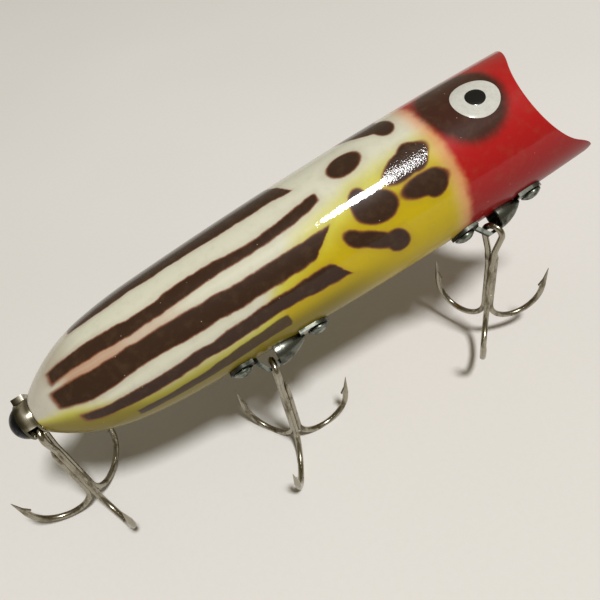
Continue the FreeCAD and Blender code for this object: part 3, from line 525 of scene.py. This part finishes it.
def column(turn, side):
    """One line of the skin from the middle of the tail face over the side and the lip into the mouth."""
    out = Vector((0, side * math.sin(turn), math.cos(turn)))

    def skin(x):
        return Vector((x, 0, 0)) + out * body_radius(x)

    points = [Vector((0, 0, 0)), out * 2.0]
    points += rounded(out * 3.2, skin(0), skin(0.45), 4)
    points += [skin(0.8 + 0.6 * index) for index in range(40)]
    points += [skin(24.6 + 0.9 * index) for index in range(78)]
    lip = lip_x(turn)
    rest = lip - LIP_ROUND - LAST_RING
    points += [skin(LAST_RING + rest * index / 14) for index in range(14)]
    tip = skin(lip)
    centre = Vector((0, 0, SCOOP_HEIGHT))
    spread = Vector((0, tip.y, tip.z)) - centre
    reach = spread.length
    towards = spread.normalized()

    def scoop(distance):
        flat = centre + towards * distance
        return Vector((scoop_x(flat.z), flat.y, flat.z))

    points += rounded(skin(lip - LIP_ROUND), tip, scoop(reach - LIP_ROUND), 6)
    span = reach - LIP_ROUND - SEAT_RADIUS
    points += [scoop(SEAT_RADIUS + span * (1 - index / 30)) for index in range(1, 31)]
    floor = Vector((SEAT_X, 0, 0)) + centre
    points += [floor + towards * SEAT_RADIUS, floor + towards, floor]
    return points


def mesh_object(name, bm, material, body, smooth_angle=35.0):
    """Turns a bmesh in the body frame into a piece that rides on a body."""
    bmesh.ops.recalc_face_normals(bm, faces=bm.faces)
    for face in bm.faces:
        face.smooth = True
    for edge in bm.edges:
        if len(edge.link_faces) == 2 and edge.calc_face_angle() > math.radians(smooth_angle):
            edge.smooth = False
    bm.transform(TO_ROW)
    data = bpy.data.meshes.new(name)
    bm.to_mesh(data)
    bm.free()
    data.materials.append(material)
    piece = bpy.data.objects.new(name, data)
    bpy.context.scene.collection.objects.link(piece)
    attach(piece, body)
    return piece


def painted_shell(name, side, material):
    """Half of the body's skin, closed on the middle plane."""
    bm = bmesh.new()
    lines = [column(math.pi * index / COLUMNS, side) for index in range(COLUMNS + 1)]
    tail = bm.verts.new(lines[0][0])
    mouth = bm.verts.new(lines[0][-1])
    rows = [[bm.verts.new(point) for point in line[1:-1]] for line in lines]
    for here, there in zip(rows, rows[1:]):
        bm.faces.new((tail, there[0], here[0]))
        for index in range(len(here) - 1):
            bm.faces.new((here[index], there[index], there[index + 1], here[index + 1]))
        bm.faces.new((mouth, here[-1], there[-1]))
    bm.faces.new([tail, *rows[0], mouth, *reversed(rows[-1])])
    return mesh_object(name, bm, material, "lure_body")


def eye_disc(name, side, radius, base, height, material):
    """A thin round cushion of enamel on the side of the head, base to base + height above the skin."""
    bm = bmesh.new()
    rings = 14
    around = 72

    def at(distance, turn, lift):
        x = EYE_X + distance * math.cos(turn)
        angle = math.radians(EYE_ANGLE) + distance * math.sin(turn) / EYE_RADIUS
        reach = body_radius(x) + lift
        return Vector((x, side * reach * math.cos(angle), reach * math.sin(angle)))

    def loop(distance, lift):
        return [bm.verts.new(at(distance, 2 * math.pi * index / around, lift)) for index in range(around)]

    top = bm.verts.new(at(0, 0, base + height))
    loops = []
    for ring in range(1, rings + 1):
        share = ring / rings
        distance = radius * share
        loops.append(loop(distance, base + height * math.sqrt(max(0.0, 1 - share ** 6)) - 0.03 * share ** 6))
    foot = bm.verts.new(at(0, 0, -0.08))
    under = loop(radius, -0.08)
    for index in range(around):
        following = (index + 1) % around
        bm.faces.new((top, loops[0][index], loops[0][following]))
        for inner, outer in zip(loops, loops[1:]):
            bm.faces.new((inner[index], outer[index], outer[following], inner[following]))
        bm.faces.new((loops[-1][index], under[index], under[following], loops[-1][following]))
        bm.faces.new((foot, under[following], under[index]))
    return mesh_object(name, bm, material, "lure_body", smooth_angle=75.0)


def body_pieces():
    paint = body_paint()
    white = enamel("eye_white_enamel", srgb(192, 192, 184), srgb(162, 160, 150))
    black = enamel("pupil_enamel", srgb(14, 14, 12), srgb(26, 24, 20))
    for name, side in (("right", -1), ("left", 1)):
        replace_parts(painted_shell(f"painted_shell_{name}", side, paint), f"body_shell_{name}")
        eye_disc(f"eye_white_{name}", side, 4.3, 0.0, 0.09, white)
        eye_disc(f"eye_pupil_{name}", side, 1.85, 0.07, 0.09, black)


# ---------------------------------------------------------------- studio

FLOOR_Z = -0.0428


def floor():
    g = Graph("floor_card")
    place = g.row_place()
    tone = g.noise(place, 0.006, 3.0)[0]
    fibre = g.noise(place, 0.9, 5.0, 0.6)[0]
    colour = g.mix(g.step(tone, 0.3, 0.7), srgb(213, 210, 207), srgb(208, 206, 202))
    g.set(Base_Color=g.mix(g.step(fibre, 0.4, 0.7, 0.06), colour, srgb(190, 185, 176)), Roughness=0.62)
    g.set(Specular_IOR_Level=0.3, Normal=g.bump((fibre, 0.08, 0.05)))
    bpy.ops.mesh.primitive_plane_add(size=6.0, location=(0, 0, FLOOR_Z))
    card = bpy.context.object
    card.name = "floor"
    card.data.materials.append(g.material)


def lights():
    target = Vector((-0.045, 0.0, 0.0))
    distance = 1.55
    towards_lamp = Vector((0.124, -0.360, 0.922)).normalized()
    lamp = bpy.data.lights.new("lamp", "AREA")
    lamp.shape = "DISK"
    lamp.size = 0.27
    lamp.energy = 25.4
    lamp.color = (1.0, 0.995, 0.985)
    holder = bpy.data.objects.new("lamp", lamp)
    holder.location = target + towards_lamp * distance
    holder.rotation_euler = towards_lamp.to_track_quat("Z", "Y").to_euler()
    bpy.context.scene.collection.objects.link(holder)

    world = bpy.data.worlds.new("room")
    world.use_nodes = True
    back = world.node_tree.nodes["Background"]
    back.inputs["Color"].default_value = (1.0, 0.90, 0.68, 1.0)
    back.inputs["Strength"].default_value = 0.225
    bpy.context.scene.world = world


def camera():
    """The camera looks down at the lure from close by, on its right side."""
    place = Vector((-0.0738, -0.0740, 0.0662))
    forward = Vector((0.2128, 0.6432, -0.7352)).normalized()
    right = forward.cross(Vector((0.4457, 0.6051, 0.6589))).normalized()
    up = right.cross(forward)
    lens = bpy.data.cameras.new("camera")
    lens.sensor_width = 36.0
    lens.lens = 36.08
    lens.clip_start = 0.005
    lens.clip_end = 50.0
    holder = bpy.data.objects.new("camera", lens)
    holder.matrix_world = Matrix((
        (right.x, up.x, -forward.x, place.x),
        (right.y, up.y, -forward.y, place.y),
        (right.z, up.z, -forward.z, place.z),
        (0, 0, 0, 1),
    ))
    bpy.context.scene.collection.objects.link(holder)
    bpy.context.scene.camera = holder
    bpy.context.scene.view_settings.view_transform = "Standard"


camera()
lights()
floor()
paint_nodes()
body_pieces()
